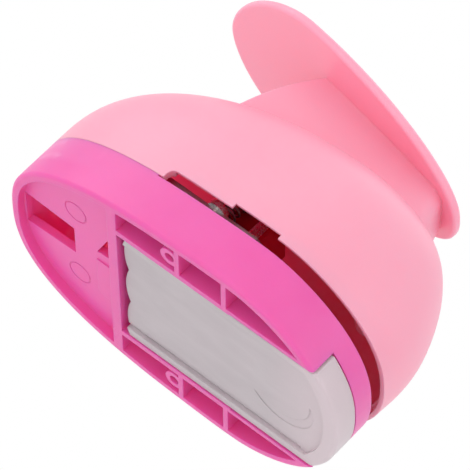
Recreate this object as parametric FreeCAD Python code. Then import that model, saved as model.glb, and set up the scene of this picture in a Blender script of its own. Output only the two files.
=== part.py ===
"""Lever corner rounder: a hand punch that cuts a rounded corner on paper and card.

Millimetres.  +X points to the front, where the paper goes in, +Y to the left
and +Z up.  The origin is on the table, under the middle of the base.
"""
import FreeCAD, Part
import math
import os
from FreeCAD import Vector

# ---- driving dimensions ---------------------------------------------------

LENGTH = 85.0                     # base, rear tip to front tip
WIDTH = 56.6                      # base, at its widest
WIDEST_X = 15.5                   # where the base is widest
FRONT_POWERS = (1.71, 2.25)       # egg outline ahead of the widest point
REAR_POWERS = (2.92, 2.52)        # egg outline behind it
WALL = 2.0                        # moulded wall of base and housing

PARTING_Z = 11.4                  # base meets housing, at the rear
RIM_Z = 11.0                      # base rim along the paper slot
SLOT_TOP_Z = 14.0                 # lower edge of the housing over the slot
SLOT_START_X = -10.8
LIP = 0.6                         # housing wall just above the slot
LIP_HIGH = 2.2
LIP_NOTCH_X = (4.6, 16.0)         # notch in the lip, where a nail lifts the housing off
LIP_NOTCH = 1.2
LIP_RISE = 0.4                    # how much higher the lip is at the front tip
DECK_Z = (8.3, 10.3)              # plate of the base that carries the die set
REAR_FLOOR_Z = (2.1, 3.9)
MAIN_RIB_X = (-15.8, -13.4)
CHANNEL_HALF = 17.4               # chip tray channel, half width
RIB = 1.4                         # ribs beside the channel
CROSS_RIBS_X = (2.3, 14.2)        # small ribs across the side pockets
CROSS_RIB = 1.2
FOOT_ROUND = 0.8                  # outer edge that meets the table
MOUTH_GAP = 0.3                   # tray opening in the front wall, all round
REAR_OPENING = ((-40.2, 5.0), (-27.0, 4.3))      # X and half width of its two ends
SIDE_OPENING = ((-20.9, -2.0), (-15.8, -2.4), (-15.8, -13.0))
FLOOR_PAD = ((-21.0, MAIN_RIB_X[0]), (0.6, 12.6))
FLOOR_PAD_HIGH = 0.3
EJECTOR = (-26.2, 10.8)           # round marks in the rear floor, X and half spacing
EJECTOR_RADII = (2.6, 2.9)
LATCH_X = (-32.5, -26.5)          # snap legs of the housing
LATCH_WINDOW_Z = (6.8, 8.4)
LATCH_LOW_Z = 6.2
LATCH_HIGH_Z = 16.0
LATCH_CATCH = 1.4                 # inset of the catches on the legs
LATCH_INNER = 3.8                 # inset of the legs' inner faces

DOME_TOP_Z = 47.3
DOME_START_Z = 14.4
DOME_CENTRE_X = 12.2              # the dome narrows towards this place
DOME_HEIGHT_POWER = 2.33
DOME_POWERS = (4.2, 2.05, 3.15)   # fullness of the front, the rear and the sides
DOME_CAP = 0.11                   # height share left flat at the very top
DOME_STEPS = 12
BULGE = 1.2                       # the front wall swells out over the slot
BULGE_Z = 24.0
BULGE_SPREAD = 10.0

PLATE = 1.2                       # steel die and guide plates
FENCE = 1.4                       # paper gap between the plates
PLATE_X = (-12.0, 16.5)
PLATE_HALF = 24.0
PLATE_CORNER = 5.0                # clipped front corners
APEX_X = -4.0                     # where the tip of the sheet comes to rest
CORNER_RADIUS = 10.0              # radius cut on the sheet
PUNCH_REAR_X = -7.4
PUNCH_SIDE = 1.3                  # blade beyond the end of the arc
DIE_GAP = 0.2
CHIP_GAP = 0.9                    # chip hole in the base, round the blade

PIVOT = (28.0, 30.0)              # lever hinge, X and Z
PIN_RADIUS = 1.5
PIN_GAP = 0.05
HOUSING_EAR = 4.5                 # ears that hold the pin, radius
HOUSING_EAR_Y = (9.9, 12.2)
LEVER_EAR = 4.0
LEVER_EAR_Y = (5.2, 8.3)
LEVER_EAR_TOP_Z = 46.0
NECK_REAR_RADIUS = 48.9           # rear wall of the neck, about the hinge
NECK_REAR_HALF = (10.8, 9.9)      # half widths at the low and the high level
NECK_FRONT_HALF = (8.7, 5.2)
NECK_FRONT_X = (29.8, 22.5)
NECK_ROUND = 3.0                  # front corners
NECK_WALL = 1.8
NECK_GAP = 0.6                    # neck to housing opening
NECK_REAR_X = (-34.0, -18.0)      # well behind the arc, which trims it
NECK_LOW_Z = 37.5
NECK_HIGH_Z = 64.0
CATCH = 1.3                       # reach of the lever's catch behind its neck
CATCH_HALF = 6.0
COLLAR = 1.5
COLLAR_LOW_Z = 39.0
PRESS_X = -2.0                    # where the lever pushes the block
NOSE_RADIUS = 3.5
NOSE_HALF = 2.0
NOSE_GAP = 0.3                    # nose to block at rest
WEB_X = (-16.0, 24.0)             # stiffening web inside the neck
WEB_HALF = 1.0
WEB_LOW_Z = 48.0

PAD_ORIGIN = (-17.0, 61.3)        # underside of the thumb pad at its widest, X and Z
PAD_TILT = 6.0                    # degrees, front end down
PAD_FRONT = 46.9
PAD_REAR = 20.9
PAD_HALF = 20.8
PAD_FRONT_POWERS = (1.6, 2.35)
PAD_REAR_POWERS = (1.75, 1.8)
PAD_BEND = 357.0                  # radius of the underside, side view
PAD_THICK = 2.2
PAD_ROUNDS = (1.1, 0.7)           # upper and lower edge

BLADE_LOW_Z = 13.1
BLOCK_Z = (22.0, 30.0)
BLOCK_X = (-8.4, 4.6)
HEAD_SEAT_Z = 28.0                # sunk seats of the punch screws
PUNCH_SCREW = (-4.6, 4.6)         # X and half spacing
PUNCH_SCREW_LOW_Z = 17.0
ARM_Z = (25.0, 28.0)
ARM_RADIUS = 3.4
POST = (-3.0, 11.6)               # guide posts, X and half spacing
POST_RADIUS = 1.5
POST_TOP_Z = 29.7
CLIP = 0.6
WASHER = 0.5
SPRING_RADIUS = 2.3               # to the wire's centre
SPRING_WIRE = 0.27                # wire radius
SPRING_TURNS = 6

BOSS = (0.3, 22.4)                # screw bosses in the base, X and half spacing
TOWER = (6.0, 14.9)               # housing screw towers, X and half spacing
TOWER_RADIUS = 2.4
SCREW_SHANK = 1.15                # radii
SCREW_HEAD = 2.3
SCREW_HEAD_HIGH = 1.5

TRAY_GAP = 0.3
TRAY_REAR_X = -11.4
TRAY_TOP_Z = 6.0
TRAY_LOW_Z = 0.25
TRAY_WALL = 1.3
TRAY_FLOOR = 1.0
TRAY_RAIL = 2.2
TRAY_RAIL_HIGH = 0.75
TRAY_RIM = 3.4                    # raised rim round the front of the floor
TRAY_MARK = 0.3                   # depth of the grooves in the floor
TRAY_CRESCENT = 0.15
SCALLOPS = 3

DIE_Z = (DECK_Z[1], DECK_Z[1] + PLATE)
FENCE_Z = (DIE_Z[1], DIE_Z[1] + FENCE)
GUIDE_Z = (FENCE_Z[1], FENCE_Z[1] + PLATE)
FAR = 200.0                       # larger than the whole object
OVER = 0.1                        # overrun that keeps cuts and joins clean


# ---- shape helpers --------------------------------------------------------

def box(x, y, z):
    """A box from three (low, high) pairs."""
    size = (x[1] - x[0], y[1] - y[0], z[1] - z[0])
    return Part.makeBox(*size, Vector(x[0], y[0], z[0]))


def cylinder(x, y, z, radius):
    """An upright cylinder between two heights."""
    return Part.makeCylinder(radius, z[1] - z[0], Vector(x, y, z[0]))


def cross_cylinder(x, z, radius, half):
    """A cylinder along Y, centred on the middle plane."""
    return Part.makeCylinder(radius, 2 * half, Vector(x, -half, z), Vector(0, 1, 0))


def closed_curve(points):
    curve = Part.BSplineCurve()
    curve.interpolate(Points=points, PeriodicFlag=True)
    return Part.Wire(curve.toShape())


def polygon(points, z):
    """An upright prism on a straight-sided outline."""
    corners = [Vector(x, y, z[0]) for x, y in points]
    face = Part.Face(Part.makePolygon(corners + corners[:1]))
    return face.extrude(Vector(0, 0, z[1] - z[0]))


def power(value, exponent):
    return math.copysign(abs(value) ** exponent, value)


def egg(front, rear, half, front_powers, rear_powers, steps=56):
    """Points of an egg outline about its widest place, as (x, y) pairs."""
    points = []
    for step in range(steps):
        angle = 2 * math.pi * step / steps
        ahead = math.cos(angle) > 0
        reach = front if ahead else rear
        powers = front_powers if ahead else rear_powers
        x = reach * power(math.cos(angle), 2 / powers[0])
        y = half * power(math.sin(angle), 2 / powers[1])
        points.append((x, y))
    return points


def base_egg(inset, z, scale=(1, 1, 1)):
    """The base outline, moved inwards; scale shrinks its front, rear and sides."""
    front = (LENGTH / 2 - WIDEST_X - inset) * scale[0]
    rear = (LENGTH / 2 + WIDEST_X - inset) * scale[1]
    half = (WIDTH / 2 - inset) * scale[2]
    lean = 1 - scale[2]
    middle_x = WIDEST_X + (DOME_CENTRE_X - WIDEST_X) * lean
    outline = []
    for x, y in egg(front, rear, half, FRONT_POWERS, REAR_POWERS):
        outline.append(Vector(middle_x + x, y, z))
    return closed_curve(outline)


def egg_prism(inset, z):
    face = Part.Face(base_egg(inset, z[0]))
    return face.extrude(Vector(0, 0, z[1] - z[0]))


def wall_band(outer_inset, inner_inset, x, z, side=0):
    """A piece of wall between two insets, within an X range and on one side."""
    band = egg_prism(outer_inset, z).cut(egg_prism(inner_inset, z))
    y = {0: (-FAR, FAR), 1: (0, FAR), -1: (-FAR, 0)}[side]
    return band.common(box(x, y, z))


def dome(inset, low_z):
    """The housing's outside, or its inside when it is inset."""
    high_z = DOME_TOP_Z - inset
    last = math.pi / 2 * (1 - DOME_CAP)
    sections = []
    for step in range(DOME_STEPS + 1):
        angle = last * step / DOME_STEPS
        rise = math.sin(angle) ** (2 / DOME_HEIGHT_POWER)
        scale = [math.cos(angle) ** (2 / fullness) for fullness in DOME_POWERS]
        z = DOME_START_Z + (high_z - DOME_START_Z) * rise
        swell = BULGE * math.exp(-((z - BULGE_Z) / BULGE_SPREAD) ** 2)
        scale[0] += swell / (LENGTH / 2 - WIDEST_X)
        if step == 0:
            sections.append(base_egg(inset, low_z, scale))
        sections.append(base_egg(inset, z, scale))
    return Part.makeLoft(sections, True, False)


def screw(x, y, head_z, length, up=1):
    """A pan-head screw; up is 1 when its head is on top."""
    shank = Part.makeCylinder(SCREW_SHANK, length)
    head = Part.makeCylinder(SCREW_HEAD, SCREW_HEAD_HIGH, Vector(0, 0, length))
    rim = [edge for edge in head.Edges if edge.BoundBox.ZMin > length + SCREW_HEAD_HIGH - 0.01]
    head = head.makeFillet(0.6, rim[:1])
    top = (length + SCREW_HEAD_HIGH - 0.7, length + SCREW_HEAD_HIGH + 1)
    cross = box((-1.2, 1.2), (-0.25, 0.25), top).fuse(box((-0.25, 0.25), (-1.2, 1.2), top))
    shape = shank.fuse(head).cut(cross).removeSplitter()
    if up == 1:
        shape.translate(Vector(x, y, head_z - length))
    else:
        shape.rotate(Vector(0, 0, 0), Vector(1, 0, 0), 180)
        shape.translate(Vector(x, y, head_z + length))
    return shape


def fillet_where(shape, radius, test):
    """Round the edges whose middle point passes the test."""
    edges = []
    for edge in shape.Edges:
        middle = edge.valueAt((edge.FirstParameter + edge.LastParameter) / 2)
        if test(edge, middle):
            edges.append(edge)
    return shape.makeFillet(radius, edges)


def mirrored(shape):
    return shape.mirror(Vector(0, 0, 0), Vector(0, 1, 0))


def save(name, shape):
    if shape.ShapeType == "Compound" and len(shape.Solids) == 1:
        shape = shape.Solids[0]
    shape.exportStep("parts/" + name + ".step")


# ---- base and tray --------------------------------------------------------

def base_shell():
    body = egg_prism(0, (0, PARTING_Z))
    body = fillet_where(body, FOOT_ROUND, lambda edge, middle: abs(edge.BoundBox.ZMax) < 0.01)
    cuts = [box((SLOT_START_X - 1.0, FAR), (-FAR, FAR), (RIM_Z, FAR))]

    rear_room = box((-FAR, MAIN_RIB_X[0]), (-FAR, FAR), (-1, FAR))
    front_room = box((MAIN_RIB_X[1], FAR), (-FAR, FAR), (-1, FAR))
    cuts.append(egg_prism(WALL, (DECK_Z[1], FAR)))
    cuts.append(egg_prism(WALL, (REAR_FLOOR_Z[1], FAR)).common(rear_room))
    cuts.append(egg_prism(WALL, (-1, REAR_FLOOR_Z[0])).common(rear_room))

    channel = box((MAIN_RIB_X[1], FAR), (-CHANNEL_HALF, CHANNEL_HALF), (-1, DECK_Z[0]))
    cuts.append(channel.common(egg_prism(WALL, (-1, DECK_Z[0]))))
    mouth_half = CHANNEL_HALF + MOUTH_GAP
    mouth = box((WIDEST_X, FAR), (-mouth_half, mouth_half), (-1, TRAY_TOP_Z + MOUTH_GAP))
    cuts.append(mouth)

    pockets = egg_prism(WALL, (-1, DECK_Z[0])).common(front_room)
    keep = CHANNEL_HALF + RIB
    pockets = pockets.cut(box((-FAR, FAR), (-keep, keep), (-1, FAR)))
    for x in CROSS_RIBS_X:
        pockets = pockets.cut(box((x - CROSS_RIB / 2, x + CROSS_RIB / 2), (-FAR, FAR), (-1, FAR)))
    for side in (-1, 1):
        boss = cylinder(BOSS[0], side * BOSS[1], (TRAY_LOW_Z, DECK_Z[0]), SCREW_HEAD)
        pockets = pockets.cut(boss)
    cuts.append(pockets)

    for side in (-1, 1):
        cuts.append(cylinder(BOSS[0], side * BOSS[1], (-1, FAR), SCREW_SHANK))
        cuts.append(cylinder(TOWER[0], side * TOWER[1], (1, FAR), SCREW_SHANK))
        window_x = (LATCH_X[0] - 1, LATCH_X[1] + 1)
        cuts.append(wall_band(LATCH_CATCH - 0.2, WALL + OVER, window_x, LATCH_WINDOW_Z, side))
        # round marks that the ejector pins leave in the rear floor
        mark_z = (0, REAR_FLOOR_Z[0] + 0.15)
        mark = cylinder(EJECTOR[0], side * EJECTOR[1], mark_z, EJECTOR_RADII[1])
        ring = mark.cut(cylinder(EJECTOR[0], side * EJECTOR[1], mark_z, EJECTOR_RADII[0]))
        cuts.append(ring)

    through_floor = (-1, REAR_FLOOR_Z[1] + 1)
    near, far = REAR_OPENING
    outline = [(near[0], -near[1]), (far[0], -far[1]), far, near]
    cuts.append(polygon(outline, through_floor))
    cuts.append(polygon(SIDE_OPENING, through_floor))
    cuts.append(punch_profile(CHIP_GAP, (DECK_Z[0] - 1, FAR)))
    for cut in cuts:
        body = body.cut(cut)

    pad = box(*FLOOR_PAD, (REAR_FLOOR_Z[0] - FLOOR_PAD_HIGH, REAR_FLOOR_Z[0]))
    corner = (FLOOR_PAD[0][0] + OVER, FLOOR_PAD[1][1] - OVER)
    pad = fillet_where(pad, 2.0, lambda edge, middle: middle.x < corner[0] and middle.y > corner[1])
    body = body.fuse(pad).removeSplitter()
    return body


def scalloped_rear(x, half, z):
    """Everything ahead of a wavy edge: shallow arcs, side by side."""
    points = [Vector(FAR, -half, z[0]), Vector(x, -half, z[0])]
    pitch = 2 * half / SCALLOPS
    edges = [Part.makeLine(points[0], points[1])]
    for step in range(SCALLOPS):
        start = Vector(x, -half + step * pitch, z[0])
        middle = start + Vector(-1.0, pitch / 2, 0)
        end = start + Vector(0, pitch, 0)
        edges.append(Part.Arc(start, middle, end).toShape())
    corner = Vector(FAR, half, z[0])
    edges.append(Part.makeLine(Vector(x, half, z[0]), corner))
    edges.append(Part.makeLine(corner, points[0]))
    return Part.Face(Part.Wire(edges)).extrude(Vector(0, 0, z[1] - z[0]))


def chip_tray():
    half = CHANNEL_HALF - TRAY_GAP
    height = (TRAY_LOW_Z, TRAY_TOP_Z)
    body = scalloped_rear(TRAY_REAR_X, half, height).common(egg_prism(0, height))
    body = fillet_where(body, 1.0, lambda edge, middle: middle.z < TRAY_LOW_Z + 0.01 and middle.x > 38)
    floor_low = TRAY_LOW_Z + TRAY_RAIL_HIGH
    floor_top = floor_low + TRAY_FLOOR

    room = scalloped_rear(TRAY_REAR_X + TRAY_WALL, half - TRAY_WALL, (floor_top, FAR))
    body = body.cut(room.common(egg_prism(TRAY_WALL + 0.1, (floor_top, FAR))))

    rail_half = half - TRAY_RAIL
    under = scalloped_rear(TRAY_REAR_X - 5, rail_half, (-1, floor_low))
    body = body.cut(under.common(egg_prism(TRAY_RIM, (-1, floor_low))))
    groove = box((TRAY_REAR_X - 5, 33), (rail_half - 0.8, rail_half), (-1, floor_low + TRAY_MARK))
    body = body.cut(groove).cut(mirrored(groove))

    # a crescent that gives the fingertip a hold
    thumb = cylinder(28.0, 1.0, (-1, floor_low + TRAY_CRESCENT), 8.0)
    thumb = thumb.cut(cylinder(26.6, -1.6, (-1, FAR), 8.6))
    return body.cut(thumb).removeSplitter()


# ---- cutting set ----------------------------------------------------------

def punch_profile(grow, z):
    """The corner cutter's outline: square at the back, hollow at the front."""
    reach = CORNER_RADIUS * math.sqrt(0.5)
    half = reach + PUNCH_SIDE + grow
    tip_x = APEX_X + reach + PUNCH_SIDE + grow
    block = box((PUNCH_REAR_X - grow, tip_x), (-half, half), z)
    centre_x = APEX_X + CORNER_RADIUS * math.sqrt(2)
    hollow = cylinder(centre_x, 0, z, CORNER_RADIUS - grow)
    return block.cut(hollow)


def plate_holes(z):
    holes = []
    for side in (-1, 1):
        holes.append(cylinder(POST[0], side * POST[1], z, POST_RADIUS))
        holes.append(cylinder(BOSS[0], side * BOSS[1], z, SCREW_SHANK))
        holes.append(cylinder(TOWER[0], side * TOWER[1], z, SCREW_SHANK))
    return holes


def steel_plate(z, trim):
    """A plate with clipped corners, drilled for posts and screws."""
    low, high = PLATE_X[0] + trim, PLATE_X[1] - trim
    half = PLATE_HALF - trim
    outline = [(low, -half), (high - PLATE_CORNER, -half), (high, -half + PLATE_CORNER)]
    outline += [(high, half - PLATE_CORNER), (high - PLATE_CORNER, half), (low, half)]
    plate = polygon(outline, z).cut(punch_profile(DIE_GAP, z))
    for hole in plate_holes(z):
        plate = plate.cut(hole)
    return plate


def paper_fence():
    """The right-hand fence: the sheet's edge slides along its slanted side."""
    inner = CORNER_RADIUS * math.sqrt(0.5) + PUNCH_SIDE + 0.5
    end_x = PLATE_X[1] - 0.5
    outline = [(PLATE_X[0], -PLATE_HALF), (PLATE_X[0], -inner), (inner + APEX_X, -inner)]
    outline += [(end_x, APEX_X - end_x), (end_x, -PLATE_HALF + 2), (end_x - 3, -PLATE_HALF)]
    fence = polygon(outline, FENCE_Z)
    for hole in plate_holes(FENCE_Z):
        fence = fence.cut(hole)
    return fence


def guide_post():
    post = cylinder(POST[0], -POST[1], (DIE_Z[0], POST_TOP_Z), POST_RADIUS)
    post = fillet_where(post, 0.4, lambda edge, middle: edge.BoundBox.ZMin > POST_TOP_Z - 0.01)
    low = ARM_Z[1] + 0.3
    groove = cylinder(POST[0], -POST[1], (low, low + CLIP), POST_RADIUS + 1)
    return post.cut(groove.cut(cylinder(POST[0], -POST[1], (0, FAR), POST_RADIUS - 0.3)))


def post_clip():
    low = ARM_Z[1] + 0.3
    z = (low, low + CLIP)
    ring = cylinder(POST[0], -POST[1], z, 2.9)
    ring = ring.cut(cylinder(POST[0], -POST[1], z, POST_RADIUS - 0.3))
    mouth = box((POST[0] - 0.9, POST[0] + 0.9), (-POST[1] - 4, -POST[1] - 0.6), z)
    return ring.cut(mouth)


def spring_washer():
    z = (ARM_Z[0] - WASHER, ARM_Z[0])
    ring = cylinder(POST[0], -POST[1], z, SPRING_RADIUS + 0.5)
    return ring.cut(cylinder(POST[0], -POST[1], z, POST_RADIUS + 0.08))


def return_spring():
    low = GUIDE_Z[1] + SPRING_WIRE
    high = ARM_Z[0] - WASHER - SPRING_WIRE
    helix = Part.makeLongHelix((high - low) / SPRING_TURNS, high - low, SPRING_RADIUS)
    section = Part.makeCircle(SPRING_WIRE, Vector(SPRING_RADIUS, 0, 0), Vector(0, 1, 0))
    coil = Part.Wire(helix.Edges).makePipeShell([Part.Wire(section)], True, True)
    coil.translate(Vector(POST[0], -POST[1], low))
    return coil


def punch_blade():
    blade = punch_profile(0, (BLADE_LOW_Z, BLOCK_Z[0]))
    x, y = PUNCH_SCREW
    for side in (-1, 1):
        blade = blade.cut(cylinder(x, side * y, (PUNCH_SCREW_LOW_Z, FAR), SCREW_SHANK))
    return blade


def punch_screws():
    x, y = PUNCH_SCREW
    length = HEAD_SEAT_Z - PUNCH_SCREW_LOW_Z
    screws = [screw(x, side * y, HEAD_SEAT_Z, length) for side in (-1, 1)]
    return Part.makeCompound(screws)


def press_block():
    """The plastic crosshead that carries the blade and runs on the posts."""
    half = CORNER_RADIUS * math.sqrt(0.5) + PUNCH_SIDE
    middle = box(BLOCK_X, (-half, half), BLOCK_Z)
    middle_z = (BLOCK_Z[0] + BLOCK_Z[1]) / 2
    middle = fillet_where(middle, 1.5, lambda edge, point: abs(point.z - middle_z) < OVER)
    arms = box((POST[0] - ARM_RADIUS, POST[0] + ARM_RADIUS), (-POST[1], POST[1]), ARM_Z)
    for side in (-1, 1):
        arms = arms.fuse(cylinder(POST[0], side * POST[1], ARM_Z, ARM_RADIUS))
    body = middle.fuse(arms)
    for side in (-1, 1):
        body = body.cut(cylinder(POST[0], side * POST[1], (0, FAR), POST_RADIUS + 0.06))
        x, y = PUNCH_SCREW[0], side * PUNCH_SCREW[1]
        body = body.cut(cylinder(x, y, (0, FAR), SCREW_SHANK))
        body = body.cut(cylinder(x, y, (HEAD_SEAT_Z, FAR), SCREW_HEAD + 0.15))
    return body.removeSplitter()


# ---- housing and lever ----------------------------------------------------

def neck_solid(grow, low_z):
    """The tapering neck of the lever; its rear wall is an arc about the hinge."""
    rise = low_z - NECK_LOW_Z
    sections = []
    for level, z in enumerate((NECK_LOW_Z, NECK_HIGH_Z)):
        rear = NECK_REAR_X[level]
        front = NECK_FRONT_X[level] + grow
        rear_half = NECK_REAR_HALF[level] + grow
        front_half = NECK_FRONT_HALF[level] + grow
        corners = [(rear, -rear_half), (front, -front_half), (front, front_half), (rear, rear_half)]
        points = [Vector(x, y, z) for x, y in corners]
        sections.append(Part.makePolygon(points + points[:1]))
    solid = Part.makeLoft(sections, True, True)
    middle_z = (NECK_LOW_Z + NECK_HIGH_Z) / 2
    solid = fillet_where(solid, NECK_ROUND + grow,
                         lambda edge, middle: middle.x > 20 and abs(middle.z - middle_z) < 1)
    if rise < 0:
        floor = Part.Face(sections[0])
        solid = solid.fuse(floor.extrude(Vector(0, 0, rise)))
    reach = cross_cylinder(PIVOT[0], PIVOT[1], NECK_REAR_RADIUS + grow, 40)
    solid = solid.common(reach.fuse(box((PIVOT[0], FAR), (-40, 40), (0, FAR))))
    return solid


def eye_plate(radius, y):
    """The round end of an ear on the hinge's axis."""
    return Part.makeCylinder(radius, y[1] - y[0], Vector(PIVOT[0], y[0], PIVOT[1]), Vector(0, 1, 0))


def pad_local(shape):
    """Place a shape drawn in the thumb pad's own tilted frame."""
    shape.rotate(Vector(0, 0, 0), Vector(0, 1, 0), PAD_TILT)
    shape.translate(Vector(PAD_ORIGIN[0], 0, PAD_ORIGIN[1]))
    return shape


def under_pad(depth):
    """All the room below a surface that lies depth above the pad's underside."""
    return pad_local(cross_cylinder(0, -PAD_BEND, PAD_BEND + depth, 40))


def thumb_pad():
    outline = egg(PAD_FRONT, PAD_REAR, PAD_HALF, PAD_FRONT_POWERS, PAD_REAR_POWERS)
    wire = closed_curve([Vector(x, y, -10) for x, y in outline])
    column = Part.Face(wire).extrude(Vector(0, 0, 20))
    band = cross_cylinder(0, -PAD_BEND, PAD_BEND + PAD_THICK, 40)
    band = band.cut(cross_cylinder(0, -PAD_BEND, PAD_BEND, 40))
    pad = column.common(band)
    pad = fillet_where(pad, PAD_ROUNDS[0], lambda edge, middle: edge.Length > 50
                       and middle.z > rim_middle(middle.x))
    pad = fillet_where(pad, PAD_ROUNDS[1], lambda edge, middle: edge.Length > 50
                       and middle.z < rim_middle(middle.x) - 0.9)
    return pad_local(pad)


def rim_middle(x):
    """Half way up the rim of the pad, in its own frame."""
    radius = PAD_BEND + PAD_THICK / 2
    return math.sqrt(radius ** 2 - x ** 2) - PAD_BEND


def lever():
    neck = neck_solid(0, NECK_LOW_Z).common(under_pad(PAD_THICK / 2))
    hollow = neck_solid(-NECK_WALL, NECK_LOW_Z - 1).common(under_pad(0))
    body = neck.cut(hollow)

    rib_x = (PRESS_X - NOSE_RADIUS, PRESS_X + NOSE_RADIUS)
    rib = box(rib_x, (-NOSE_HALF, NOSE_HALF), (BLOCK_Z[1] + 2, NECK_HIGH_Z))
    nose = cross_cylinder(PRESS_X, BLOCK_Z[1] + NOSE_RADIUS + NOSE_GAP, NOSE_RADIUS, NOSE_HALF)
    web = box(WEB_X, (-WEB_HALF, WEB_HALF), (WEB_LOW_Z, NECK_HIGH_Z))
    inside = neck_solid(-NECK_WALL / 2, NECK_LOW_Z).common(under_pad(PAD_THICK / 2))
    body = body.fuse(rib.common(under_pad(PAD_THICK / 2))).fuse(nose)
    body = body.fuse(web.common(inside))

    for side in (-1, 1):
        low_y = LEVER_EAR_Y[0] if side == 1 else -LEVER_EAR_Y[1]
        y = (low_y, low_y + LEVER_EAR_Y[1] - LEVER_EAR_Y[0])
        ear = box((PIVOT[0] - LEVER_EAR, PIVOT[0] + 1.4), y, (PIVOT[1], LEVER_EAR_TOP_Z))
        ear = ear.common(neck_solid(0, PIVOT[1] - 1))
        body = body.fuse(ear).fuse(eye_plate(LEVER_EAR, y))

    # the catch that stops the lever from lifting out of the housing
    outside = cross_cylinder(PIVOT[0], PIVOT[1], NECK_REAR_RADIUS + CATCH, CATCH_HALF)
    catch = outside.cut(cross_cylinder(PIVOT[0], PIVOT[1], NECK_REAR_RADIUS - 1, CATCH_HALF))
    catch_z = (NECK_LOW_Z, NECK_LOW_Z + 0.7)
    catch = catch.common(box((-30, -10), (-CATCH_HALF, CATCH_HALF), catch_z))
    body = body.fuse(catch).fuse(thumb_pad())
    body = body.cut(cross_cylinder(PIVOT[0], PIVOT[1], PIN_RADIUS + PIN_GAP, 20))
    return body.removeSplitter()


def hinge_pin():
    half = HOUSING_EAR_Y[1]
    pin = cross_cylinder(PIVOT[0], PIVOT[1], PIN_RADIUS, half)
    return fillet_where(pin, 0.3, lambda edge, middle: abs(edge.BoundBox.YMin) > half - OVER)


def rising_lip():
    """The wedge by which the slot opens wider towards the front."""
    low_z = SLOT_TOP_Z - 1
    corners = [(0, low_z), (0, SLOT_TOP_Z), (LENGTH / 2 + 1, SLOT_TOP_Z + LIP_RISE), (LENGTH / 2 + 1, low_z)]
    points = [Vector(x, -FAR, z) for x, z in corners]
    return Part.Face(Part.makePolygon(points + points[:1])).extrude(Vector(0, 2 * FAR, 0))


def housing_shell():
    outside = dome(0, PARTING_Z)
    shell = outside.cut(dome(WALL, PARTING_Z - 1))
    opening = neck_solid(NECK_GAP, COLLAR_LOW_Z - 12)
    slot = box((SLOT_START_X, FAR), (-FAR, FAR), (0, SLOT_TOP_Z))
    slot = fillet_where(slot, 1.6, lambda edge, middle: middle.x < SLOT_START_X + 1
                        and middle.z > SLOT_TOP_Z - 0.01 and abs(middle.y) < 1)
    shell = shell.cut(slot).cut(rising_lip())
    lip_z = (SLOT_TOP_Z - 1, SLOT_TOP_Z + LIP_HIGH)
    shell = shell.cut(wall_band(LIP, WALL + 0.1, (SLOT_START_X + 1, FAR), lip_z))

    additions = []
    collar = neck_solid(NECK_GAP + COLLAR, COLLAR_LOW_Z - 12)
    additions.append(collar.common(box((-FAR, FAR), (-FAR, FAR), (COLLAR_LOW_Z, FAR))))
    for side in (-1, 1):
        low_y = HOUSING_EAR_Y[0] if side == 1 else -HOUSING_EAR_Y[1]
        y = (low_y, low_y + HOUSING_EAR_Y[1] - HOUSING_EAR_Y[0])
        ear_x = (PIVOT[0] - HOUSING_EAR, PIVOT[0] + HOUSING_EAR)
        additions.append(box(ear_x, y, (PIVOT[1], DOME_TOP_Z)))
        additions.append(eye_plate(HOUSING_EAR, y))
        tower_z = (GUIDE_Z[1], DOME_TOP_Z)
        additions.append(cylinder(TOWER[0], side * TOWER[1], tower_z, TOWER_RADIUS))
        additions.append(wall_band(WALL - OVER, LATCH_INNER, LATCH_X, (PARTING_Z, LATCH_HIGH_Z), side))
        additions.append(wall_band(WALL + 0.2, LATCH_INNER, LATCH_X, (LATCH_LOW_Z, PARTING_Z), side))
        catch_z = (LATCH_WINDOW_Z[0] + 0.2, LATCH_WINDOW_Z[1] - 0.2)
        additions.append(wall_band(LATCH_CATCH, WALL + 0.3, LATCH_X, catch_z, side))
    for addition in additions:
        shell = shell.fuse(addition.common(dome(0.5, 0).fuse(egg_prism(0.5, (0, DOME_START_Z)))))

    shell = shell.cut(opening)
    for side in (-1, 1):
        pilot = cylinder(TOWER[0], side * TOWER[1], (0, 27), SCREW_SHANK)
        shell = shell.cut(pilot)
        notch_z = (0, SLOT_TOP_Z + LIP_NOTCH)
        shell = shell.cut(wall_band(-1 - BULGE, LIP + OVER, LIP_NOTCH_X, notch_z, side))
    shell = shell.cut(cross_cylinder(PIVOT[0], PIVOT[1], PIN_RADIUS, 13))
    return shell.removeSplitter()


def die_set_screws():
    head_z = GUIDE_Z[1]
    screws = [screw(BOSS[0], side * BOSS[1], head_z, head_z - 2.5) for side in (-1, 1)]
    return Part.makeCompound(screws)


def housing_screws():
    length = 17.0
    screws = []
    for side in (-1, 1):
        screws.append(screw(TOWER[0], side * TOWER[1], DECK_Z[0], length, up=-1))
    return Part.makeCompound(screws)


# ---- build ----------------------------------------------------------------

def main():
    os.makedirs("parts", exist_ok=True)
    save("base_shell", base_shell())
    save("chip_tray", chip_tray())
    save("housing_shell", housing_shell())
    save("lever", lever())
    save("hinge_pin", hinge_pin())
    save("die_plate", steel_plate(DIE_Z, 0))
    save("guide_plate", steel_plate(GUIDE_Z, 0.5))
    save("press_block", press_block())
    save("punch_blade", punch_blade())
    save("punch_screws", punch_screws())
    save("die_set_screws", die_set_screws())
    save("housing_screws", housing_screws())
    pairs = {"paper_fence": paper_fence, "guide_post": guide_post, "return_spring": return_spring}
    pairs.update({"post_clip": post_clip, "spring_washer": spring_washer})
    for name, make in pairs.items():
        right = make()
        save(name + "_right", right)
        save(name + "_left", mirrored(right))


main()
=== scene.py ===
"""Lever corner rounder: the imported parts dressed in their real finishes.

Metres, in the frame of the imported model: +X to the front, where the paper goes
in, +Y to the left and +Z up, with the table at Z = 0.
"""

import math

import bmesh
import bpy
from mathutils import Matrix, Vector


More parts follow.
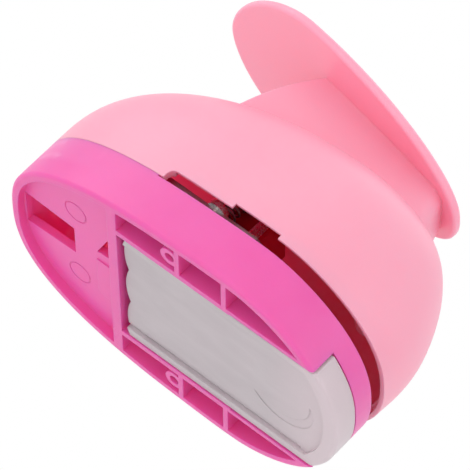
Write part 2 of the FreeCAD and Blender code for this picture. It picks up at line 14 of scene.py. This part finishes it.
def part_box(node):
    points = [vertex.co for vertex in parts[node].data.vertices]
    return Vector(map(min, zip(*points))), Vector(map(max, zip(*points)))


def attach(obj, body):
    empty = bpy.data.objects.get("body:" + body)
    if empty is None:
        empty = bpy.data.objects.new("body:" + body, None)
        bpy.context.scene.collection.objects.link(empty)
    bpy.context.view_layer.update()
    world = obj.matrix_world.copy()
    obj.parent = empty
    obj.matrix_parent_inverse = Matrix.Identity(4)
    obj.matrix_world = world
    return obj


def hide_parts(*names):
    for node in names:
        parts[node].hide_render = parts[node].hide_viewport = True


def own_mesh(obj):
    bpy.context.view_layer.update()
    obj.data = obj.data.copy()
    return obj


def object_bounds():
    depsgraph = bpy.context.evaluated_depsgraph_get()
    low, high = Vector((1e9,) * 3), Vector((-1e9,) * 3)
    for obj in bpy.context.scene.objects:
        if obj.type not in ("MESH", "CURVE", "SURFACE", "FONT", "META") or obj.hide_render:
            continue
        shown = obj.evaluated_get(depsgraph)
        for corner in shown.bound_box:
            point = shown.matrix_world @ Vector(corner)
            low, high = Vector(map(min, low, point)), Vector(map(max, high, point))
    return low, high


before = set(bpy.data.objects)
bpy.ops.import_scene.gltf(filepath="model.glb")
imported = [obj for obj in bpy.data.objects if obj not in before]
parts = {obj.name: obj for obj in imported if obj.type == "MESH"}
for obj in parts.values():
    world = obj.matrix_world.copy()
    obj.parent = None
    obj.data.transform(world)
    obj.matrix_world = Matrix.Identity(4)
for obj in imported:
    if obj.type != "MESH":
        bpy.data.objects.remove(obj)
cad_low, cad_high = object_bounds()


# ---- Table, room and camera ------------------------------------------------
# The punch stands on a pale studio table in a white light tent.  The table top
# is one-sided: from above it shows and takes the shadow, and from below it is
# clear, because the underside of the punch is the side that is looked at.

def linear(hex_colour):
    """An sRGB hex colour as the linear RGBA that shaders use."""
    channels = [int(hex_colour[i:i + 2], 16) / 255 for i in (0, 2, 4)]
    return [c / 12.92 if c <= 0.04045 else ((c + 0.055) / 1.055) ** 2.4 for c in channels] + [1.0]


def add_node(tree, kind, wires=None, **settings):
    """Add a shader node; wires gives its inputs as sockets to link or as values."""
    node = tree.nodes.new("ShaderNode" + kind)
    for name, value in settings.items():
        setattr(node, name, value)
    for name, value in (wires or {}).items():
        if isinstance(value, bpy.types.NodeSocket):
            tree.links.new(value, node.inputs[name])
        else:
            node.inputs[name].default_value = value
    return node


def new_material(name):
    """An empty material and its node tree."""
    material = bpy.data.materials.new(name)
    material.use_nodes = True
    material.node_tree.nodes.clear()
    return material, material.node_tree


def mesh_object(name, shape):
    """Turn a bmesh into an object that sits at the origin."""
    mesh = bpy.data.meshes.new(name)
    shape.to_mesh(mesh)
    shape.free()
    made = bpy.data.objects.new(name, mesh)
    bpy.context.scene.collection.objects.link(made)
    return made


TABLE_SIZE = 1.0
shape = bmesh.new()
bmesh.ops.create_grid(shape, x_segments=1, y_segments=1, size=TABLE_SIZE / 2)
table_top = mesh_object("table_top", shape)

table_paint, tree = new_material("matt_white_table")
seen = add_node(tree, "NewGeometry")
path = add_node(tree, "LightPath")
camera_from_above = add_node(tree, "Math", {0: path.outputs["Is Camera Ray"], 1: seen.outputs["Backfacing"]},
                             operation="SUBTRACT", use_clamp=True)
paint = add_node(tree, "BsdfDiffuse", {"Color": linear("F4F3F2")})
clear = add_node(tree, "BsdfTransparent")
# it fades into the white of the room a third of a metre out, so no edge shows
FADE_START, FADE_END = 0.12, 0.34
place = add_node(tree, "TexCoord").outputs["Object"]
from_middle = add_node(tree, "VectorMath", {0: place}, operation="LENGTH")
near = add_node(tree, "MapRange", {"Value": from_middle.outputs["Value"],
                                   "From Min": FADE_START, "From Max": FADE_END,
                                   "To Min": 1.0, "To Max": 0.0}, interpolation_type="SMOOTHSTEP")
shown = add_node(tree, "Math", {0: camera_from_above.outputs[0], 1: near.outputs["Result"]},
                 operation="MULTIPLY")
one_sided = add_node(tree, "MixShader", {0: shown.outputs[0], 1: clear.outputs[0], 2: paint.outputs[0]})
add_node(tree, "OutputMaterial", {"Surface": one_sided.outputs[0]})
table_top.data.materials.append(table_paint)

TENT_LIGHT = 0.86                 # what the tent gives every side of the punch
world = bpy.data.worlds.new("light_tent")
bpy.context.scene.world = world
world.use_nodes = True
tree = world.node_tree
tree.nodes.clear()
path = add_node(tree, "LightPath")
white_seen = add_node(tree, "Math", {0: path.outputs["Is Camera Ray"], 1: path.outputs["Is Glossy Ray"]},
                      operation="MAXIMUM")
white_seen = add_node(tree, "Math", {0: white_seen.outputs[0], 1: path.outputs["Is Transmission Ray"]},
                      operation="MAXIMUM")
strength = add_node(tree, "MapRange", {"Value": white_seen.outputs[0], "To Min": TENT_LIGHT, "To Max": 1.0})
tent = add_node(tree, "Background", {"Color": (1, 1, 1, 1), "Strength": strength.outputs[0]})
add_node(tree, "OutputWorld", {"Surface": tent.outputs[0]})


def soft_lamp(name, place, size, watts):
    """A square soft box that points at the middle of the punch."""
    lamp = bpy.data.lights.new(name, "AREA")
    lamp.size = size
    lamp.energy = watts
    holder = bpy.data.objects.new(name, lamp)
    bpy.context.scene.collection.objects.link(holder)
    middle = (cad_low + cad_high) / 2
    aim = (middle - Vector(place)).to_track_quat("-Z", "Y")
    holder.matrix_world = Matrix.Translation(place) @ aim.to_matrix().to_4x4()


soft_lamp("key_lamp", (-0.75, -0.55, 0.45), 0.55, 1.7)
soft_lamp("top_lamp", (-0.05, 0.25, 0.95), 0.60, 0.7)
soft_lamp("low_lamp", (-0.10, -0.55, -0.75), 0.60, 0.8)
soft_lamp("front_lamp", (0.90, -0.35, 0.25), 0.60, 0.9)
soft_lamp("side_lamp", (-0.15, -0.85, -0.12), 0.40, 0.55)


def glow_inside(name, place, watts, tint):
    """A weak tinted lamp in a hollow, standing in for light through the thin walls."""
    lamp = bpy.data.lights.new(name, "POINT")
    lamp.shadow_soft_size = 0.003
    lamp.color = linear(tint)[:3]
    lamp.energy = watts
    holder = bpy.data.objects.new(name, lamp)
    bpy.context.scene.collection.objects.link(holder)
    holder.location = place
    holder.visible_camera = False
    holder.visible_glossy = False


glow_inside("rear_glow", (-0.028, 0, 0.020), 0.0032, "FF3C8C")
glow_inside("front_glow", (0.020, 0, 0.024), 0.0008, "FF2A48")

# The camera looks up at the underside from the right, and is turned on its side.
AZIMUTH, ELEVATION, ROLL = (math.radians(angle) for angle in (23.69, -23.32, 45.61))
DISTANCE = 0.743
LENS = 287.7
OFF_AXIS = (0.01738, 0.02271)     # the camera aims a little right of the punch and above it
back = Vector((math.sin(AZIMUTH) * math.cos(ELEVATION), -math.cos(AZIMUTH) * math.cos(ELEVATION),
               math.sin(ELEVATION)))
level = Vector((math.cos(AZIMUTH), math.sin(AZIMUTH), 0))
upright = back.cross(level)
right = level * math.cos(ROLL) + upright * math.sin(ROLL)
up = back.cross(right)
camera = bpy.data.objects.new("camera", bpy.data.cameras.new("camera"))
bpy.context.scene.collection.objects.link(camera)
camera.data.sensor_width = 36
camera.data.lens = LENS
camera.data.clip_start, camera.data.clip_end = 0.05, 20
look = (right * OFF_AXIS[0] + up * OFF_AXIS[1] - back).normalized()
right = look.cross(up).normalized()
up = right.cross(look)
camera.matrix_world = Matrix.Translation(back * DISTANCE) @ Matrix((right, up, -look)).transposed().to_4x4()
bpy.context.scene.camera = camera
bpy.context.scene.view_settings.view_transform = "Standard"


# ---- Base shell -------------------------------------------------------------
# Injection-moulded high-impact polystyrene in a deep pink.  It lets a little
# light through, so its ribs and pockets glow a purer pink than its outside.

def dress(material, *names):
    """Give CAD nodes their finish."""
    for name in names:
        parts[name].material_slots[0].material = material


base_plastic, tree = new_material("deep_pink_polystyrene")
place = add_node(tree, "TexCoord").outputs["Object"]
# melt that cooled unevenly leaves clouds about 9 mm wide, only just visible
clouds = add_node(tree, "TexNoise", {"Vector": place, "Scale": 1 / 0.009, "Detail": 3})
colour = add_node(tree, "Mix", {"Factor": clouds.outputs["Fac"]}, data_type="RGBA")
colour.inputs[6].default_value = linear("EA57A8")
colour.inputs[7].default_value = linear("EF63B2")
# painted sheen and glow: the outside of the rear is painted a paler pink, with soft paler wisps over it
sheen_wisps = add_node(tree, "TexNoise", {"Vector": place, "Scale": 1 / 0.011, "Detail": 1, "Distortion": 1.6})
sheen_wisp_line = add_node(tree, "MapRange", {"Value": sheen_wisps.outputs["Fac"], "From Min": 0.50, "From Max": 0.66})
split = add_node(tree, "SeparateXYZ", {"Vector": place})
# painted sheen: the mask for the paler rear, strongest from 36 mm behind the middle
rear_sheen = add_node(tree, "MapRange", {"Value": split.outputs["X"], "From Min": -0.024, "From Max": -0.036,
                                      "To Max": 0.34})
outside = add_node(tree, "MapRange", {"Value": split.outputs["Z"], "From Min": 0.0045, "From Max": 0.0060})
rear_sheen_area = add_node(tree, "Math", {0: rear_sheen.outputs["Result"], 1: outside.outputs["Result"]},
                      operation="MULTIPLY")
sheen_wisp_share = add_node(tree, "Math", {0: rear_sheen_area.outputs[0], 1: sheen_wisp_line.outputs["Result"]},
                       operation="MULTIPLY")
# painted sheen and glow: a paler pink mixed over the rear outside
colour_with_rear_sheen = add_node(tree, "Mix", {"Factor": rear_sheen_area.outputs[0]}, data_type="RGBA")
tree.links.new(colour.outputs[2], colour_with_rear_sheen.inputs[6])
colour_with_rear_sheen.inputs[7].default_value = linear("F58CC4")
# painted sheen: near-white wisps mixed over the rear
colour_with_sheen_wisps = add_node(tree, "Mix", {"Factor": sheen_wisp_share.outputs[0]}, data_type="RGBA")
tree.links.new(colour_with_rear_sheen.outputs[2], colour_with_sheen_wisps.inputs[6])
colour_with_sheen_wisps.inputs[7].default_value = linear("FFC4E2")
rough = add_node(tree, "MapRange", {"Value": clouds.outputs["Fac"], "To Min": 0.30, "To Max": 0.44})
# the mould was spark-eroded, which leaves a grain of about 0.5 mm
grain = add_node(tree, "TexNoise", {"Vector": place, "Scale": 1 / 0.0005, "Detail": 2})
# the sharp edges of the mould still come out a quarter of a millimetre round
soft_edge = add_node(tree, "Bevel", {"Radius": 0.00025}, samples=6)
relief = add_node(tree, "Bump", {"Height": grain.outputs["Fac"], "Distance": 0.00003, "Strength": 0.6,
                                 "Normal": soft_edge.outputs[0]})
plastic = add_node(tree, "BsdfPrincipled", {
    "Base Color": colour_with_sheen_wisps.outputs[2], "Roughness": rough.outputs[0], "IOR": 1.50,
    "Subsurface Weight": 0.40, "Subsurface Radius": (0.0040, 0.0006, 0.0015), "Subsurface Scale": 1.0,
    "Normal": relief.outputs[0]})
add_node(tree, "OutputMaterial", {"Surface": plastic.outputs[0]})
dress(base_plastic, "base_shell")


# ---- Die set ----------------------------------------------------------------
# Two punched steel plates, ground flat, with the red paper fences clamped
# between them by two pan-head screws.  Polished posts stand in the plates.

plate_steel, tree = new_material("ground_steel_plate")
place = add_node(tree, "TexCoord").outputs["Object"]
# grinding lines run from side to side, about 0.2 mm apart
stretched = add_node(tree, "Mapping", {"Vector": place, "Scale": (1, 0.03, 1)})
lines = add_node(tree, "TexNoise", {"Vector": stretched.outputs[0], "Scale": 1 / 0.0002, "Detail": 2})
rough = add_node(tree, "MapRange", {"Value": lines.outputs["Fac"], "To Min": 0.22, "To Max": 0.42})
tone = add_node(tree, "Mix", {"Factor": lines.outputs["Fac"]}, data_type="RGBA")
tone.inputs[6].default_value = linear("8C8A8B")
tone.inputs[7].default_value = linear("B3B1B2")
relief = add_node(tree, "Bump", {"Height": lines.outputs["Fac"], "Distance": 0.00001, "Strength": 0.4})
metal = add_node(tree, "BsdfPrincipled", {
    "Base Color": tone.outputs[2], "Metallic": 1.0, "Roughness": rough.outputs[0],
    "Normal": relief.outputs[0]})
add_node(tree, "OutputMaterial", {"Surface": metal.outputs[0]})
dress(plate_steel, "die_plate", "guide_plate")

red_plastic, tree = new_material("dark_red_nylon")
place = add_node(tree, "TexCoord").outputs["Object"]
# the dye is a little uneven, in clouds of about 4 mm
clouds = add_node(tree, "TexNoise", {"Vector": place, "Scale": 1 / 0.004, "Detail": 2})
colour = add_node(tree, "Mix", {"Factor": clouds.outputs["Fac"]}, data_type="RGBA")
colour.inputs[6].default_value = linear("B80F2C")
colour.inputs[7].default_value = linear("C81A36")
soft_edge = add_node(tree, "Bevel", {"Radius": 0.0002}, samples=4)
plastic = add_node(tree, "BsdfPrincipled", {
    "Base Color": colour.outputs[2], "Roughness": 0.38, "IOR": 1.53, "Normal": soft_edge.outputs[0]})
add_node(tree, "OutputMaterial", {"Surface": plastic.outputs[0]})
dress(red_plastic, "paper_fence_right", "paper_fence_left", "press_block")

screw_steel, tree = new_material("zinc_plated_screw")
place = add_node(tree, "TexCoord").outputs["Object"]
# zinc plating has crystals of about half a millimetre
crystals = add_node(tree, "TexVoronoi", {"Vector": place, "Scale": 1 / 0.0005})
rough = add_node(tree, "MapRange", {"Value": crystals.outputs["Distance"], "To Min": 0.20, "To Max": 0.36})
metal = add_node(tree, "BsdfPrincipled", {"Base Color": linear("C9C7C4"), "Metallic": 1.0,
                                          "Roughness": rough.outputs[0]})
add_node(tree, "OutputMaterial", {"Surface": metal.outputs[0]})
dress(screw_steel, "die_set_screws", "punch_screws", "housing_screws")

bright_steel, tree = new_material("polished_steel_pin")
place = add_node(tree, "TexCoord").outputs["Object"]
# turning marks round the pins, about 0.15 mm apart
turned = add_node(tree, "Mapping", {"Vector": place, "Scale": (0.05, 0.05, 1)})
marks = add_node(tree, "TexNoise", {"Vector": turned.outputs[0], "Scale": 1 / 0.00015})
rough = add_node(tree, "MapRange", {"Value": marks.outputs["Fac"], "To Min": 0.12, "To Max": 0.26})
metal = add_node(tree, "BsdfPrincipled", {"Base Color": linear("D2D1CF"), "Metallic": 1.0,
                                          "Roughness": rough.outputs[0]})
add_node(tree, "OutputMaterial", {"Surface": metal.outputs[0]})
dress(bright_steel, "guide_post_right", "guide_post_left", "hinge_pin",
      "spring_washer_right", "spring_washer_left")


# ---- Blade and springs -------------------------------------------------------
# The blade is hardened tool steel, darkened by the quench and ground on its
# sides.  The springs and clips are drawn spring steel, blued by their heat.

tool_steel, tree = new_material("hardened_tool_steel")
place = add_node(tree, "TexCoord").outputs["Object"]
# patches of about 3 mm that the quench left darker
quench = add_node(tree, "TexNoise", {"Vector": place, "Scale": 1 / 0.003, "Detail": 4})
tone = add_node(tree, "Mix", {"Factor": quench.outputs["Fac"]}, data_type="RGBA")
tone.inputs[6].default_value = linear("6E6A6A")
tone.inputs[7].default_value = linear("96928F")
# the sides are ground from top to bottom, in lines about 0.2 mm apart
upright_lines = add_node(tree, "Mapping", {"Vector": place, "Scale": (1, 1, 0.04)})
lines = add_node(tree, "TexNoise", {"Vector": upright_lines.outputs[0], "Scale": 1 / 0.0002})
rough = add_node(tree, "MapRange", {"Value": lines.outputs["Fac"], "To Min": 0.24, "To Max": 0.44})
metal = add_node(tree, "BsdfPrincipled", {"Base Color": tone.outputs[2], "Metallic": 1.0,
                                          "Roughness": rough.outputs[0]})
add_node(tree, "OutputMaterial", {"Surface": metal.outputs[0]})
dress(tool_steel, "punch_blade")

spring_steel, tree = new_material("blued_spring_wire")
place = add_node(tree, "TexCoord").outputs["Object"]
# the blueing changes tone every 2 mm or so along the wire
blueing = add_node(tree, "TexNoise", {"Vector": place, "Scale": 1 / 0.002})
tone = add_node(tree, "Mix", {"Factor": blueing.outputs["Fac"]}, data_type="RGBA")
tone.inputs[6].default_value = linear("85868B")
tone.inputs[7].default_value = linear("A6A19A")
metal = add_node(tree, "BsdfPrincipled", {"Base Color": tone.outputs[2], "Metallic": 1.0, "Roughness": 0.28})
add_node(tree, "OutputMaterial", {"Surface": metal.outputs[0]})
dress(spring_steel, "post_clip_right", "post_clip_left")

COIL_RADIUS, WIRE_RADIUS = 0.0023, 0.00027
WIRE_SIDES = 12
FLAT_TURN_RISE = 2.1 * WIRE_RADIUS          # the closed end turns all but touch
OPEN_TURNS = 6
STEPS_A_TURN = 28


def wound_spring(name, foot, height):
    """A compression spring whose first and last turns lie flat, as wound."""
    middle = foot + Vector((0, 0, WIRE_RADIUS))
    open_rise = (height - 2 * WIRE_RADIUS - 2 * FLAT_TURN_RISE) / OPEN_TURNS
    shape = bmesh.new()
    wire = bmesh.ops.create_circle(shape, cap_ends=True, segments=WIRE_SIDES, radius=WIRE_RADIUS)
    bmesh.ops.rotate(shape, verts=wire["verts"], cent=(0, 0, 0), matrix=Matrix.Rotation(math.pi / 2, 3, "X"))
    bmesh.ops.translate(shape, verts=wire["verts"], vec=middle + Vector((COIL_RADIUS, 0, 0)))
    end = list(shape.faces)
    for turns, rise in ((1, FLAT_TURN_RISE), (OPEN_TURNS, open_rise), (1, FLAT_TURN_RISE)):
        wound = bmesh.ops.spin(shape, geom=end, cent=middle, axis=(0, 0, 1), angle=turns * math.tau,
                               dvec=(0, 0, rise / STEPS_A_TURN), steps=turns * STEPS_A_TURN)
        end = [part for part in wound["geom_last"] if isinstance(part, bmesh.types.BMFace)]
    bmesh.ops.remove_doubles(shape, verts=shape.verts, dist=WIRE_RADIUS / 50)
    bmesh.ops.recalc_face_normals(shape, faces=shape.faces)
    for face in shape.faces:
        face.smooth = len(face.verts) == 4
    spring = mesh_object(name, shape)
    spring.data.materials.append(spring_steel)
    return spring


# each spring stands round its post, from the upper plate to the washer
for hand in ("right", "left"):
    post_low, post_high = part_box("guide_post_" + hand)
    spring_low, spring_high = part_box("return_spring_" + hand)
    foot = (Vector(post_low) + Vector(post_high)) / 2
    foot.z = spring_low[2]
    height = spring_high[2] - spring_low[2]
    spring = wound_spring("wound_spring_" + hand, foot, height)
    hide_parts("return_spring_" + hand)
    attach(spring, "frame")
    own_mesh(spring)


# ---- Chip tray ----------------------------------------------------------------
# Moulded in natural polypropylene, milky and half clear.  Faint lines cross it
# where the melt ran, and the chips inside have scuffed it dull.

milky, tree = new_material("natural_polypropylene")
place = add_node(tree, "TexCoord").outputs["Object"]
# milky clouds about 14 mm long, drawn out the way the tray slides
drawn = add_node(tree, "Mapping", {"Vector": place, "Scale": (0.35, 1, 1)})
clouds = add_node(tree, "TexNoise", {"Vector": drawn.outputs[0], "Scale": 1 / 0.005, "Detail": 3,
                                     "Distortion": 0.6})
colour = add_node(tree, "Mix", {"Factor": clouds.outputs["Fac"]}, data_type="RGBA")
colour.inputs[6].default_value = linear("CFC2C8")
colour.inputs[7].default_value = linear("E9DEE3")
# painted glow: the front wall is thicker, and is painted a paler and slightly pinker white that stands in
# for pink light from the shells coming through it
split = add_node(tree, "SeparateXYZ", {"Vector": place})
# painted glow: the mask for the pinker white, strongest from 36 mm in front of the middle
front_pink_glow = add_node(tree, "MapRange", {"Value": split.outputs["X"], "From Min": 0.024, "From Max": 0.036})
# painted glow: a paler, pinker white mixed over the front wall
milk_with_front_glow = add_node(tree, "Mix", {"Factor": front_pink_glow.outputs[0]}, data_type="RGBA")
tree.links.new(colour.outputs[2], milk_with_front_glow.inputs[6])
milk_with_front_glow.inputs[7].default_value = linear("F0DDE4")
rough = add_node(tree, "MapRange", {"Value": clouds.outputs["Fac"], "To Min": 0.30, "To Max": 0.50})
# flow lines across the tray, about 1.2 mm apart
across = add_node(tree, "Mapping", {"Vector": place, "Scale": (1, 0.10, 1)})
flow = add_node(tree, "TexNoise", {"Vector": across.outputs[0], "Scale": 1 / 0.0012, "Detail": 2})
soft_edge = add_node(tree, "Bevel", {"Radius": 0.0003}, samples=6)
relief = add_node(tree, "Bump", {"Height": flow.outputs["Fac"], "Distance": 0.00006, "Strength": 0.6,
                                 "Normal": soft_edge.outputs[0]})
plastic = add_node(tree, "BsdfPrincipled", {
    "Base Color": milk_with_front_glow.outputs[2], "Roughness": rough.outputs[0], "IOR": 1.49,
    "Transmission Weight": 0.30, "Subsurface Weight": 0.35, "Subsurface Radius": (0.004, 0.004, 0.004),
    "Subsurface Scale": 1.0, "Normal": relief.outputs[0]})
add_node(tree, "OutputMaterial", {"Surface": plastic.outputs[0]})
dress(milky, "chip_tray")


# ---- Housing and lever ----------------------------------------------------------
# Both are moulded ABS in pale pink, from one batch, with the same satin skin.
# The lever turns on a pin inside the front of the housing.

pale_plastic, tree = new_material("pale_pink_abs")
place = add_node(tree, "TexCoord").outputs["Object"]
# clouds about 12 mm wide, hardly visible, and a satin grain of 0.3 mm
clouds = add_node(tree, "TexNoise", {"Vector": place, "Scale": 1 / 0.012, "Detail": 3})
colour = add_node(tree, "Mix", {"Factor": clouds.outputs["Fac"]}, data_type="RGBA")
colour.inputs[6].default_value = linear("FFA2BB")
colour.inputs[7].default_value = linear("FFA9C0")
rough = add_node(tree, "MapRange", {"Value": clouds.outputs["Fac"], "To Min": 0.36, "To Max": 0.46})
grain = add_node(tree, "TexNoise", {"Vector": place, "Scale": 1 / 0.0003, "Detail": 2})
soft_edge = add_node(tree, "Bevel", {"Radius": 0.0003}, samples=6)
relief = add_node(tree, "Bump", {"Height": grain.outputs["Fac"], "Distance": 0.00001, "Strength": 0.4,
                                 "Normal": soft_edge.outputs[0]})
plastic = add_node(tree, "BsdfPrincipled", {
    "Base Color": colour.outputs[2], "Roughness": rough.outputs[0], "IOR": 1.52,
    "Subsurface Weight": 0.35, "Subsurface Radius": (0.0035, 0.0012, 0.0014), "Subsurface Scale": 1.0,
    "Normal": relief.outputs[0]})
add_node(tree, "OutputMaterial", {"Surface": plastic.outputs[0]})
dress(pale_plastic, "housing_shell", "lever")
